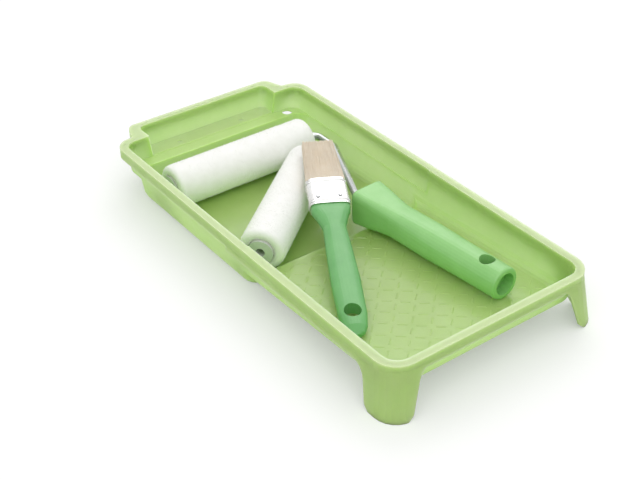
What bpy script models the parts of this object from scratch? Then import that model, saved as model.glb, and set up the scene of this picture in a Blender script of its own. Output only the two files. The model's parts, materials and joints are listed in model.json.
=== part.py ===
"""Paint tray set: a moulded tray that holds a mini roller, a spare roller sleeve and a flat brush.

The frame has +X to the right, +Y from the front legs to the rear of the well and +Z up.  The origin is
on the floor under the middle of the set.  The tray is sized round what it holds: the roller lies along it
with its sleeve in the well and its handle on the ramp, the spare sleeve lies slantwise in the well, and the
brush lies over the spare sleeve with its butt on the ramp.
"""
import math

import bmesh
import bpy
from mathutils import Matrix, Vector

MM = 0.001

# Fits
CLEARANCE = 0.3 * MM

# Roller sleeves
SLEEVE_LENGTH = 109 * MM
COVER_RADIUS = 15 * MM
COVER_EDGE = 3 * MM
CORE_RADIUS = 8.1 * MM
CORE_WALL = 1.2 * MM
BUSH_FLANGE = 1.2 * MM
BUSH_DEPTH = 10 * MM
CAP_DEPTH = 6 * MM
FAR_BUSH_INSET = 13 * MM
FAR_BUSH_LENGTH = 8 * MM
RETAINER_RADIUS = 5 * MM
RETAINER_THICKNESS = 0.9 * MM
WIRE_TIP = 2 * MM

# Roller frame and handle
WIRE_RADIUS = 2.6 * MM
WIRE_OFFSET = 9 * MM
WIRE_BEND = 7 * MM
WIRE_SHOULDER = 21.5 * MM
WIRE_LEAD = 9 * MM
FRAME_REACH = 94.5 * MM
HANDLE_LENGTH = 121 * MM
HANDLE_BUTT_RADIUS = 10.2 * MM
HANDLE_GRIP_RADIUS = 10.9 * MM
HANDLE_WAIST_RADIUS = 9.9 * MM
HANDLE_FLARE_HALF_WIDTH = 12.6 * MM
HANDLE_FLARE_HALF_HEIGHT = 12.2 * MM
HANDLE_EDGE = 1.5 * MM
HANDLE_SLANT = 6.5 * MM
SOCKET_DEPTH = 40 * MM
HANG_HOLE_RADIUS = 4.9 * MM
HANG_HOLE_FROM_BUTT = 15 * MM
BUTT_BORE_RADIUS = 7.2 * MM
BUTT_BORE_DEPTH = 7 * MM

# Brush
BRISTLE_LENGTH = 42.5 * MM
FERRULE_LENGTH = 25 * MM
BRUSH_HANDLE_LENGTH = 109 * MM
FERRULE_WIDTH = 26 * MM
FERRULE_THICKNESS = 11.2 * MM
FERRULE_WALL = 0.5 * MM
FERRULE_BEAD = 0.4 * MM
FERRULE_BEAD_INSET = 3 * MM
BRUSH_NECK_WIDTH = 14.4 * MM
BRUSH_PALM_WIDTH = 18 * MM
BRUSH_HANDLE_THICKNESS = 9.6 * MM
BRUSH_HOLE_RADIUS = 5.2 * MM
BRUSH_HOLE_FROM_END = 17 * MM
TONGUE_LENGTH = 10 * MM
RESIN_LENGTH = 4 * MM
TIP_WIDTH = 20.5 * MM
TIP_THICKNESS = 6.6 * MM
FILLER_WIDTH = 17 * MM
FILLER_THICKNESS = 2.8 * MM
FILLER_LENGTH = 15 * MM
NAIL_RADIUS = 0.7 * MM
NAIL_HEAD_RADIUS = 1.4 * MM
NAIL_HEAD_HEIGHT = 0.5 * MM
NAIL_LENGTH = 3.4 * MM
NAIL_SPACING = 14 * MM
NAIL_FROM_EDGE = 7 * MM
BRUSH_HEADING = math.radians(60.6)

# Room round the tools in the tray
SPARE_HEADING = math.radians(38)
SPARE_SIDE_ROOM = 6.2 * MM
SPARE_ROLLER_ROOM = 1.9 * MM
SPARE_STEP_ROOM = 3 * MM
TIP_BACK = 10.2 * MM
TIP_ASIDE = 8.4 * MM
HANDLE_BRUSH_ROOM = 1.2 * MM
SLEEVE_LEFT_ROOM = 8.2 * MM
WIRE_RIGHT_ROOM = 7.2 * MM
BUTT_ROOM = 25 * MM
SLEEVE_REAR_ROOM = 15.8 * MM
HEADROOM = 2.9 * MM

# Tray moulding
WALL = 1.6 * MM
FLOOR = 1.8 * MM
WALL_DRAFT = 0.134
WELL_INSET = 0.6 * MM
RIM_WIDTH = 5 * MM
RIM_THICKNESS = 1.8 * MM
RIM_CORNER = 15 * MM
RIM_REAR_CORNER = 11 * MM
LIP_DEPTH = 5.5 * MM
LIP_THICKNESS = 1.8 * MM
FLOOR_FILLET = 4.5 * MM
RAMP_EDGE_HEIGHT = 9 * MM
RAMP_FRONT_HEIGHT = 15 * MM
RIB_CELL = 7.8 * MM
RIB_LENGTH = 7.3 * MM
RIB_WIDTH = 2.6 * MM
RIB_HEIGHT = 0.3 * MM
RIB_SINK = 0.1 * MM
RIB_HEADING = math.radians(42)
LEDGE_DROP = 16.2 * MM
LEDGE_DEPTH = 9.7 * MM
BULGE_DEPTH = 15 * MM
BULGE_FROM_SIDE = 19.2 * MM
BULGE_RUN = 5 * MM
LEDGE_HOLE_RADIUS = 3.7 * MM
LEDGE_HOLE_FROM_SIDE = 17 * MM
DIMPLE_RADIUS = 1.8 * MM
DIMPLE_DEPTH = 0.6 * MM
DIMPLE_SPACING = 51 * MM
SKIRT_DEPTH = 9.7 * MM
SKIRT_PAST_STEP = 16 * MM
LEG_THICKNESS = 1.8 * MM
LEG_SIDE_SPLAY = 0.11
LEG_FRONT_SPLAY = 0.17
LEG_SIDE_LENGTH = 18.5 * MM
LEG_FRONT_LENGTH = 13 * MM
LEG_SIDE_FLARE = 5.5 * MM
LEG_FRONT_FLARE = 8.5 * MM
SIDE_ARCH_RADIUS = 10 * MM
FRONT_ARCH_RADIUS = 12 * MM

# Facets
ROUND_STEPS = 32
SMALL_STEPS = 16
CORNER_STEPS = 6

# Colours and finishes: base colour, roughness, metallic
LEAF = ((0.50, 0.70, 0.22, 1), 0.42, 0.0)
GRIP = ((0.22, 0.56, 0.22, 1), 0.45, 0.0)
STEEL = ((0.72, 0.72, 0.70, 1), 0.28, 1.0)
PILE = ((0.90, 0.90, 0.86, 1), 0.95, 0.0)
NATURAL = ((0.80, 0.80, 0.76, 1), 0.5, 0.0)
NYLON = ((0.70, 0.72, 0.70, 1), 0.45, 0.0)
BRISTLE = ((0.76, 0.66, 0.50, 1), 0.85, 0.0)
TIMBER = ((0.66, 0.50, 0.32, 1), 0.7, 0.0)
RESIN = ((0.45, 0.34, 0.20, 1), 0.35, 0.0)

# Heights of the tray
SLEEVE_AXIS_Z = FLOOR + CLEARANCE + COVER_RADIUS
TRAY_HEIGHT = FLOOR + CLEARANCE + 2 * COVER_RADIUS + HEADROOM
LEDGE_Z = TRAY_HEIGHT - LEDGE_DROP

# Width of the tray, from the roller that lies across the well
WALL_LEAN = WELL_INSET + WALL_DRAFT * (TRAY_HEIGHT - SLEEVE_AXIS_Z)
WELL_WIDTH = SLEEVE_LEFT_ROOM + SLEEVE_LENGTH + WIRE_OFFSET + WIRE_RADIUS + WIRE_RIGHT_ROOM
TRAY_WIDTH = WELL_WIDTH + 2 * (WALL_LEAN + RIM_WIDTH)
WELL_LEFT_X = -WELL_WIDTH / 2
BULGE_HALF_WIDTH = TRAY_WIDTH / 2 - BULGE_FROM_SIDE

# Length of the tray, from the front rim to the rear of the bulge
FRONT_TO_BUTT = RIM_WIDTH + BUTT_ROOM
FRONT_TO_AXIS = FRONT_TO_BUTT + HANDLE_LENGTH + FRAME_REACH
FRONT_TO_LEDGE = FRONT_TO_AXIS + COVER_RADIUS + SLEEVE_REAR_ROOM
FRONT_TO_REAR = FRONT_TO_LEDGE + LEDGE_DEPTH + RIM_WIDTH
TRAY_LENGTH = FRONT_TO_REAR + BULGE_DEPTH
LEG_TOP_Z = TRAY_HEIGHT - RIM_THICKNESS / 2
LEG_TOP_INSET = LIP_THICKNESS / 3
LEG_REACH = LEG_FRONT_SPLAY * LEG_TOP_Z - LEG_TOP_INSET
FRONT_Y = (LEG_REACH - TRAY_LENGTH) / 2
REAR_Y = FRONT_Y + FRONT_TO_REAR
LEDGE_Y = FRONT_Y + FRONT_TO_LEDGE
INNER_REAR_Y = REAR_Y - RIM_WIDTH

# Places of the sleeves
ROLLER_Y = FRONT_Y + FRONT_TO_AXIS
ROLLER_X = WELL_LEFT_X + SLEEVE_LEFT_ROOM + SLEEVE_LENGTH / 2
WIRE_X = ROLLER_X + SLEEVE_LENGTH / 2 + WIRE_OFFSET
SPARE_ALONG = Vector((math.cos(SPARE_HEADING), math.sin(SPARE_HEADING), 0))
SPARE_ASIDE = Vector((math.sin(SPARE_HEADING), -math.cos(SPARE_HEADING), 0))


def sleeve_reach(along, aside, radius):
    """Reach of a slanted sleeve in a plan direction, with its rounded ends, at a half chord of radius."""
    straight = (SLEEVE_LENGTH / 2 - COVER_EDGE) * abs(along)
    return straight + (radius - COVER_EDGE) * abs(aside) + COVER_EDGE


SPARE_REACH_X = sleeve_reach(SPARE_ALONG.x, SPARE_ASIDE.x, COVER_RADIUS)
SPARE_REACH_Y = sleeve_reach(SPARE_ALONG.y, SPARE_ASIDE.y, COVER_RADIUS)
SPARE_X = WELL_LEFT_X + SPARE_SIDE_ROOM + SPARE_REACH_X
SPARE_Y = ROLLER_Y - COVER_RADIUS - SPARE_ROLLER_ROOM - SPARE_REACH_Y
SPARE_CENTRE = Vector((SPARE_X, SPARE_Y, SLEEVE_AXIS_Z))

# The step from the ramp down into the well lies just in front of the spare sleeve
STEP_CHORD = math.sqrt(COVER_RADIUS ** 2 - max(SLEEVE_AXIS_Z - RAMP_EDGE_HEIGHT, 0) ** 2)
STEP_Y = SPARE_Y - sleeve_reach(SPARE_ALONG.y, SPARE_ASIDE.y, STEP_CHORD) - SPARE_STEP_ROOM
RAMP_FRONT_Y = FRONT_Y + 2 * RIM_WIDTH
RAMP_SLOPE = (RAMP_FRONT_HEIGHT - RAMP_EDGE_HEIGHT) / (STEP_Y - RAMP_FRONT_Y)


def ramp_z(y):
    """Height of the ramp's upper face at a place along the tray."""
    return RAMP_EDGE_HEIGHT + RAMP_SLOPE * (STEP_Y - y)


def rib_z(y):
    """Height of the crests of the ramp's ribs, on which the tools lie."""
    return ramp_z(y) + RIB_HEIGHT


# Brush, measured along its axis from the butt of its handle
BRUSH_LENGTH = BRUSH_HANDLE_LENGTH + FERRULE_LENGTH + BRISTLE_LENGTH
FERRULE_START = BRUSH_HANDLE_LENGTH
FERRULE_END = FERRULE_START + FERRULE_LENGTH
TONGUE_END = FERRULE_START + TONGUE_LENGTH
RESIN_END = TONGUE_END + CLEARANCE + RESIN_LENGTH
ROOT_START = RESIN_END + CLEARANCE
PACK_WIDTH = FERRULE_WIDTH - 2 * (FERRULE_WALL + CLEARANCE)
PACK_THICKNESS = FERRULE_THICKNESS - 2 * (FERRULE_WALL + CLEARANCE)


def brush_handle_sections():
    """Width, thickness and squareness of the brush handle from its butt to the ferrule."""
    full = BRUSH_HANDLE_THICKNESS
    palm = BRUSH_PALM_WIDTH
    shoulder = FERRULE_WIDTH - 2 * FERRULE_WALL
    length = BRUSH_HANDLE_LENGTH
    return [
        (0, 0.30 * palm, 0.34 * full, 2.2),
        (0.016 * length, 0.56 * palm, 0.56 * full, 2.2),
        (0.06 * length, 0.80 * palm, 0.78 * full, 2.3),
        (0.15 * length, 0.95 * palm, 0.88 * full, 2.4),
        (0.40 * length, palm, 0.96 * full, 2.4),
        (0.66 * length, 0.5 * palm + 0.5 * BRUSH_NECK_WIDTH, full, 2.3),
        (0.83 * length, BRUSH_NECK_WIDTH, 1.04 * full, 2.3),
        (0.92 * length, 0.5 * BRUSH_NECK_WIDTH + 0.5 * shoulder, 1.08 * full, 2.6),
        (0.975 * length, 0.97 * shoulder, PACK_THICKNESS, 3.4),
        (length - CLEARANCE, shoulder, PACK_THICKNESS, 3.8),
    ]


def bristle_sections():
    """Width, thickness and squareness of the bristle pack from its root to its tips."""
    swell = PACK_THICKNESS + 2 * FERRULE_WALL
    free = BRISTLE_LENGTH
    return [
        (ROOT_START, PACK_WIDTH, PACK_THICKNESS, 4.0),
        (FERRULE_END + CLEARANCE, PACK_WIDTH, PACK_THICKNESS, 4.0),
        (FERRULE_END + 0.22 * free, FERRULE_WIDTH - FERRULE_WALL, swell, 3.6),
        (FERRULE_END + 0.60 * free, 0.45 * FERRULE_WIDTH + 0.55 * TIP_WIDTH, 0.8 * swell, 3.4),
        (FERRULE_END + 0.94 * free, TIP_WIDTH, TIP_THICKNESS, 3.2),
        (BRUSH_LENGTH, 0.86 * TIP_WIDTH, 0.5 * TIP_THICKNESS, 3.0),
    ]


def brush_outline():
    """Half width and half thickness along the whole brush, for laying it down."""
    stations = [(s, w / 2, t / 2) for s, w, t, _ in brush_handle_sections()]
    half_width = FERRULE_WIDTH / 2 + FERRULE_BEAD
    half_thickness = FERRULE_THICKNESS / 2 + FERRULE_BEAD + NAIL_HEAD_HEIGHT + CLEARANCE
    stations += [(FERRULE_START, half_width, half_thickness), (FERRULE_END, half_width, half_thickness)]
    return stations + [(s, w / 2, t / 2) for s, w, t, _ in bristle_sections() if s > FERRULE_END]


def spare_top(point):
    """Height of the spare sleeve's upper side over a plan point, or None beside it."""
    offset = Vector((point.x - SPARE_X, point.y - SPARE_Y, 0))
    if abs(offset.dot(SPARE_ALONG)) > SLEEVE_LENGTH / 2 + CLEARANCE:
        return None
    aside = abs(offset.dot(SPARE_ASIDE))
    if aside >= COVER_RADIUS + CLEARANCE:
        return None
    return SLEEVE_AXIS_Z + math.sqrt((COVER_RADIUS + CLEARANCE) ** 2 - aside ** 2)


def lay_brush():
    """Butt point and pitch of the brush, with its butt on the ramp and its pack on the spare sleeve."""
    along = Vector((math.cos(BRUSH_HEADING), math.sin(BRUSH_HEADING), 0))
    across = Vector((-along.y, along.x, 0))
    tip = SPARE_CENTRE + SPARE_ALONG * (SLEEVE_LENGTH / 2 - TIP_BACK) + SPARE_ASIDE * TIP_ASIDE
    stations = brush_outline()
    pitch = 0.0
    for _ in range(12):
        butt = tip - along * BRUSH_LENGTH * math.cos(pitch)
        rests = []
        for s, _, half in stations:
            if s < FERRULE_START:
                point = butt + along * s * math.cos(pitch)
                rests.append(rib_z(point.y) + CLEARANCE + half / math.cos(pitch) - s * math.sin(pitch))
        butt.z = max(rests)
        needed = []
        for first, second in zip(stations, stations[1:]):
            for step in range(4):
                share = step / 4
                s, width, half = (a + (b - a) * share for a, b in zip(first, second))
                for side in range(-4, 5):
                    point = butt + along * s * math.cos(pitch) + across * width * side / 4
                    top = spare_top(point)
                    if top is not None and s > 0:
                        needed.append(math.asin((top + half / math.cos(pitch) - butt.z) / s))
        pitch = max(needed)
    return butt, pitch


BRUSH_BUTT, BRUSH_PITCH = lay_brush()


def brush_right_x(y):
    """X of the brush's right-hand side, taken square to the ferrule, at a place along the tray."""
    heading = Vector((math.cos(BRUSH_HEADING), math.sin(BRUSH_HEADING)))
    half_width = FERRULE_WIDTH / 2 + FERRULE_BEAD
    edge = Vector((BRUSH_BUTT.x, BRUSH_BUTT.y)) + Vector((heading.y, -heading.x)) * half_width
    return edge.x + (y - edge.y) * heading.x / heading.y


# Roller handle: its flare lies beside the brush, its grip on the ramp
HANDLE_FRONT_Y = ROLLER_Y - FRAME_REACH
HANDLE_FRONT_X = brush_right_x(HANDLE_FRONT_Y) + HANDLE_BRUSH_ROOM + HANDLE_FLARE_HALF_WIDTH
HANDLE_BUTT_X = HANDLE_FRONT_X + HANDLE_SLANT
HANDLE_BUTT_Y = HANDLE_FRONT_Y - math.sqrt(HANDLE_LENGTH ** 2 - HANDLE_SLANT ** 2)
HANDLE_BUTT_Z = rib_z(HANDLE_BUTT_Y) + CLEARANCE + HANDLE_BUTT_RADIUS
HANDLE_EDGE_Z = rib_z(STEP_Y) + CLEARANCE + HANDLE_FLARE_HALF_HEIGHT
HANDLE_RISE = (HANDLE_EDGE_Z - HANDLE_BUTT_Z) / (STEP_Y - HANDLE_BUTT_Y)
HANDLE_FRONT_Z = HANDLE_BUTT_Z + HANDLE_RISE * (HANDLE_FRONT_Y - HANDLE_BUTT_Y)
HANDLE_BUTT = Vector((HANDLE_BUTT_X, HANDLE_BUTT_Y, HANDLE_BUTT_Z))
HANDLE_FRONT = Vector((HANDLE_FRONT_X, HANDLE_FRONT_Y, HANDLE_FRONT_Z))


def clear_scene():
    """Remove every object of the open scene."""
    for obj in list(bpy.data.objects):
        bpy.data.objects.remove(obj, do_unlink=True)


def new_collection(name):
    """Make a collection in the scene."""
    collection = bpy.data.collections.new(name)
    bpy.context.scene.collection.children.link(collection)
    return collection


def finish(name, recipe):
    """Make a plain Principled material from a colour, a roughness and a metallic value."""
    colour, roughness, metallic = recipe
    material = bpy.data.materials.new(name)
    material.use_nodes = True
    shader = material.node_tree.nodes["Principled BSDF"]
    shader.inputs["Base Color"].default_value = colour
    shader.inputs["Roughness"].default_value = roughness
    shader.inputs["Metallic"].default_value = metallic
    return material


class Workshop:
    """The two collections and the helpers that fill them."""

    def __init__(self):
        clear_scene()
        self.parts = new_collection("paint_tray_set")
        self.cutters = new_collection("cutters")

    def add(self, name, mesh_edit, recipe=None, parent=None):
        """Link a bmesh as a named part with its material, or as a hidden cutter when it has no recipe."""
        mesh = bpy.data.meshes.new(name)
        mesh_edit.to_mesh(mesh)
        mesh_edit.free()
        obj = bpy.data.objects.new(name, mesh)
        self.place(obj, recipe, parent)
        return obj

    def place(self, obj, recipe, parent):
        """Put an object in its collection, on its parent and with its finish."""
        if recipe is None:
            self.cutters.objects.link(obj)
            obj.hide_render = True
            obj.display_type = "WIRE"
        else:
            self.parts.objects.link(obj)
            obj.data.materials.append(finish(obj.name + "_finish", recipe))
        obj.parent = parent

    def frame(self, name, matrix):
        """Make an empty that carries pieces at a place and a turn."""
        empty = bpy.data.objects.new(name, None)
        empty.matrix_world = matrix
        self.parts.objects.link(empty)
        return empty


def combine(target, tool, operation):
    """Cut or join a tool on a target with an exact Boolean."""
    modifier = target.modifiers.new(tool.name, "BOOLEAN")
    modifier.operation = operation
    modifier.object = tool
    modifier.solver = "EXACT"


def smooth(obj, degrees=35):
    """Shade an object's mesh smooth, with sharp edges kept."""
    obj.data.shade_smooth()
    obj.data.set_sharp_from_angle(angle=math.radians(degrees))


def rounded(corners, steps=CORNER_STEPS):
    """Outline through corners (x, y, radius), each rounded by an arc."""
    points = []
    for index, (x, y, radius) in enumerate(corners):
        corner = Vector((x, y))
        if radius == 0:
            points.append(corner)
            continue
        before = (Vector(corners[index - 1][:2]) - corner).normalized()
        after = (Vector(corners[(index + 1) % len(corners)][:2]) - corner).normalized()
        half = before.angle(after) / 2
        centre = corner + (before + after).normalized() * radius / math.sin(half)
        start = corner + before * radius / math.tan(half) - centre
        sweep = start.angle_signed(corner + after * radius / math.tan(half) - centre)
        points += [centre + Matrix.Rotation(-sweep * i / steps, 2) @ start for i in range(steps + 1)]
    return points


def slab(shop, name, outline, thickness, matrix):
    """Flat cutter: an outline given a thickness in a 2D curve, then made a closed mesh."""
    curve = bpy.data.curves.new(name, "CURVE")
    curve.dimensions = "2D"
    curve.fill_mode = "BOTH"
    curve.extrude = thickness / 2
    spline = curve.splines.new("POLY")
    spline.points.add(len(outline) - 1)
    for point, place in zip(spline.points, outline):
        point.co = (place.x, place.y, 0, 1)
    spline.use_cyclic_u = True
    drawn = bpy.data.objects.new(name + "_outline", curve)
    bpy.context.scene.collection.objects.link(drawn)
    bpy.context.view_layer.update()
    mesh = bpy.data.meshes.new_from_object(drawn.evaluated_get(bpy.context.evaluated_depsgraph_get()))
    bpy.data.objects.remove(drawn, do_unlink=True)
    edit = bmesh.new()
    edit.from_mesh(mesh)
    bmesh.ops.remove_doubles(edit, verts=edit.verts, dist=0.00001)
    bmesh.ops.recalc_face_normals(edit, faces=edit.faces)
    solid = shop.add(name, edit)
    solid.matrix_world = matrix
    return solid


def drafted_block(shop, name, half_width, ends, top, bottoms, drafts, corners, foot=0.0, open_rear=False):
    """Box with leaning walls.

    ends, bottoms, drafts and corners hold a front and a rear value, and drafts begins with the sides' lean.
    half_width and ends are taken at the top.  The foot fillet leaves out the rear edge of an open block.
    """
    side_draft, front_draft, rear_draft = drafts
    edit = bmesh.new()
    bmesh.ops.create_cube(edit, size=2)
    uprights = {-1: [], 1: []}
    for edge in edit.edges:
        first, second = (vert.co for vert in edge.verts)
        if first.z != second.z:
            uprights[int(first.y)].append(edge)
    for vert in edit.verts:
        rear = vert.co.y > 0
        depth = 0.0 if vert.co.z > 0 else top - bottoms[rear]
        lean = -rear_draft if rear else front_draft
        x = vert.co.x * (half_width - side_draft * depth)
        vert.co = (x, ends[rear] + lean * depth, top - depth)
    for edges, radius in ((uprights[-1], corners[0]), (uprights[1], corners[1])):
        if radius:
            bmesh.ops.bevel(edit, geom=edges, offset=radius, segments=CORNER_STEPS, profile=0.5,
                            affect="EDGES")
    if foot:
        edit.normal_update()
        sole = min(edit.faces, key=lambda face: face.normal.z * face.calc_area())
        edges = [edge for edge in sole.edges
                 if not open_rear or min(vert.co.y for vert in edge.verts) < ends[1] - foot]
        bmesh.ops.bevel(edit, geom=edges, offset=foot, segments=3, profile=0.5, affect="EDGES")
    bmesh.ops.recalc_face_normals(edit, faces=edit.faces)
    return shop.add(name, edit)


def peg(shop, name, radius, length, matrix, steps=SMALL_STEPS):
    """Round cutter along its local Z axis."""
    edit = bmesh.new()
    bmesh.ops.create_cone(edit, cap_ends=True, segments=steps, radius1=radius, radius2=radius, depth=length)
    cutter = shop.add(name, edit)
    cutter.matrix_world = matrix
    return cutter


def turned(shop, name, profile, recipe, parent, closed=False, steps=ROUND_STEPS):
    """Solid of revolution about local Z from a profile (radius, height) that runs down its outer side."""
    edit = bmesh.new()
    verts = [edit.verts.new((radius, 0, height)) for radius, height in profile]
    links = list(zip(verts, verts[1:]))
    if closed:
        links.append((verts[-1], verts[0]))
    for first, second in links:
        edit.edges.new((first, second))
    obj = shop.add(name, edit, recipe, parent)
    screw = obj.modifiers.new("turn", "SCREW")
    screw.axis = "Z"
    screw.angle = 2 * math.pi
    screw.steps = steps
    screw.render_steps = steps
    screw.use_merge_vertices = True
    screw.merge_threshold = 0.00001
    screw.use_smooth_shade = True
    return obj


def oval(width, thickness, power, count):
    """Points of a rounded section in the local YZ plane, squarer as power grows."""
    points = []
    for index in range(count):
        turn = 2 * math.pi * index / count
        y = math.copysign(abs(math.cos(turn)) ** (2 / power), math.cos(turn)) * width / 2
        z = math.copysign(abs(math.sin(turn)) ** (2 / power), math.sin(turn)) * thickness / 2
        points.append((y, z))
    return points


def loft(sections, count, capped=True):
    """Skin over sections (place along local X, width, thickness, squareness)."""
    edit = bmesh.new()
    rings = []
    for place, width, thickness, power in sections:
        rings.append([edit.verts.new((place, y, z)) for y, z in oval(width, thickness, power, count)])
    for first, second in zip(rings, rings[1:]):
        for index in range(count):
            after = (index + 1) % count
            edit.faces.new((first[index], first[after], second[after], second[index]))
    if capped:
        edit.faces.new(list(reversed(rings[0])))
        edit.faces.new(rings[-1])
    bmesh.ops.recalc_face_normals(edit, faces=edit.faces)
    return edit


def axis_matrix(start, end):
    """Frame at start whose local X points to end, with local Y level."""
    along = (end - start).normalized()
    across = Vector((0, 0, 1)).cross(along).normalized()
    above = along.cross(across)
    return Matrix.Translation(start) @ Matrix((along, across, above)).transposed().to_4x4()


def rim_outline(inset):
    """Plan of the tray's rim, moved in from its outer edge."""
    half = TRAY_WIDTH / 2 - inset
    front = FRONT_Y + inset
    rear = REAR_Y - inset
    back = REAR_Y + BULGE_DEPTH - inset
    shoulder = BULGE_HALF_WIDTH + BULGE_RUN - inset
    crown = BULGE_HALF_WIDTH - inset
    soft = BULGE_RUN
    return rounded([
        (-half, front, RIM_CORNER - inset),
        (half, front, RIM_CORNER - inset),
        (half, rear, RIM_REAR_CORNER - inset),
        (shoulder, rear, soft / 2 + inset),
        (crown, back, soft + RIM_THICKNESS - inset),
        (-crown, back, soft + RIM_THICKNESS - inset),
        (-shoulder, rear, soft / 2 + inset),
        (-half, rear, RIM_REAR_CORNER - inset),
    ])


def make_rim(shop):
    """Flat rim with its turned-down lip, before the basin is joined to it."""
    depth = RIM_THICKNESS + LIP_DEPTH
    middle = Matrix.Translation((0, 0, TRAY_HEIGHT - depth / 2))
    blank = slab(shop, "rim_blank", rim_outline(0), depth, middle)
    pocket_top = TRAY_HEIGHT - RIM_THICKNESS
    pocket = Matrix.Translation((0, 0, pocket_top - LIP_DEPTH))
    combine(blank, slab(shop, "rim_pocket", rim_outline(LIP_THICKNESS), 2 * LIP_DEPTH, pocket), "DIFFERENCE")
    return blank


def make_basin(shop):
    """Outer blocks and inner hollows of the basin: well, upper well, ramp and rear bulge."""
    above = 2 * MM
    join_z = TRAY_HEIGHT - RIM_THICKNESS / 2
    inner_half = TRAY_WIDTH / 2 - RIM_WIDTH
    front_in = FRONT_Y + RIM_WIDTH
    bulge_back = REAR_Y + BULGE_DEPTH - RIM_WIDTH
    bulge_half = BULGE_HALF_WIDTH - RIM_WIDTH
    overlap = RIM_CORNER
    well_half = inner_half - WELL_INSET - WALL_DRAFT * (TRAY_HEIGHT - LEDGE_Z)
    inner_corner = RIM_CORNER - RIM_WIDTH
    rear_corner = RIM_REAR_CORNER - RIM_WIDTH / 2
    step_rear = STEP_Y + inner_corner + WALL
    lean = WALL_DRAFT
    outer = [
        drafted_block(shop, "upper_outer", inner_half + WALL, (STEP_Y - WALL, INNER_REAR_Y + WALL), join_z,
                      (LEDGE_Z - WALL,) * 2, (lean, 0, 0), (0, rear_corner + WALL)),
        drafted_block(shop, "well_outer", well_half + WALL, (STEP_Y - WALL, LEDGE_Y + WALL),
                      LEDGE_Z + WALL / 4, (0, 0), (lean, lean, lean),
                      (inner_corner, inner_corner), FLOOR_FILLET + FLOOR / 2),
        drafted_block(shop, "ramp_outer", inner_half - WELL_INSET + WALL,
                      (front_in - WALL, step_rear), join_z,
                      (ramp_z(front_in) - WALL, ramp_z(step_rear) - WALL), (lean, lean, 0),
                      (inner_corner + WALL, 0), FLOOR_FILLET, open_rear=True),
        drafted_block(shop, "bulge_outer", bulge_half + WALL, (LEDGE_Y + LEDGE_DEPTH / 2, bulge_back + WALL),
                      join_z, (LEDGE_Z - WALL / 2,) * 2, (lean, 0, lean), (0, BULGE_RUN + WALL)),
    ]
    inner = [
        drafted_block(shop, "upper_hollow", inner_half + lean * above, (STEP_Y, INNER_REAR_Y),
                      TRAY_HEIGHT + above, (LEDGE_Z,) * 2, (lean, 0, 0), (0, rear_corner)),
        drafted_block(shop, "well_hollow", well_half, (STEP_Y, LEDGE_Y), LEDGE_Z + WALL / 2, (FLOOR, FLOOR),
                      (lean, lean, lean), (inner_corner, inner_corner), FLOOR_FILLET),
        drafted_block(shop, "ramp_hollow", inner_half - WELL_INSET + lean * above,
                      (front_in - lean * above, STEP_Y + overlap), TRAY_HEIGHT + above,
                      (ramp_z(front_in), ramp_z(STEP_Y + overlap)), (lean, lean, 0),
                      (inner_corner, 0), FLOOR_FILLET, open_rear=True),
        drafted_block(shop, "bulge_hollow", bulge_half + lean * above,
                      (LEDGE_Y + LEDGE_DEPTH / 3, bulge_back + lean * above), TRAY_HEIGHT + above,
                      (LEDGE_Z + CLEARANCE,) * 2, (lean, 0, lean), (0, BULGE_RUN)),
    ]
    return outer, inner


def make_ribs(shop):
    """Short hipped ribs over the ramp, set by turns along its two diagonals like a basket weave."""
    edit = bmesh.new()
    half_width = TRAY_WIDTH / 2 - RIM_WIDTH - WELL_INSET - WALL_DRAFT * TRAY_HEIGHT - FLOOR_FILLET / 2
    front = FRONT_Y + RIM_WIDTH + WALL_DRAFT * TRAY_HEIGHT + FLOOR_FILLET / 2
    columns = int(2 * half_width / RIB_CELL)
    rows = int((STEP_Y - front) / RIB_CELL)
    middle_y = (STEP_Y + front) / 2
    tilt = Matrix.Rotation(-math.atan(RAMP_SLOPE), 4, "X")
    end = RIB_LENGTH / 2
    side = RIB_WIDTH / 2
    crest = end - side
    for row in range(rows):
        y = middle_y + (row - (rows - 1) / 2) * RIB_CELL
        for column in range(columns):
            x = (column - (columns - 1) / 2) * RIB_CELL
            heading = RIB_HEADING if (row + column) % 2 else -RIB_HEADING
            place = Matrix.Translation((x, y, ramp_z(y))) @ tilt @ Matrix.Rotation(heading, 4, "Z")
            corners = [(-end, -side, -RIB_SINK), (end, -side, -RIB_SINK), (end, side, -RIB_SINK),
                       (-end, side, -RIB_SINK), (-crest, 0, RIB_HEIGHT), (crest, 0, RIB_HEIGHT)]
            verts = [edit.verts.new(place @ Vector(corner)) for corner in corners]
            for face in ((3, 2, 1, 0), (0, 1, 5, 4), (2, 3, 4, 5), (1, 2, 5), (3, 0, 4)):
                edit.faces.new([verts[index] for index in face])
    bmesh.ops.recalc_face_normals(edit, faces=edit.faces)
    return shop.add("ramp_ribs", edit)


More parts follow.
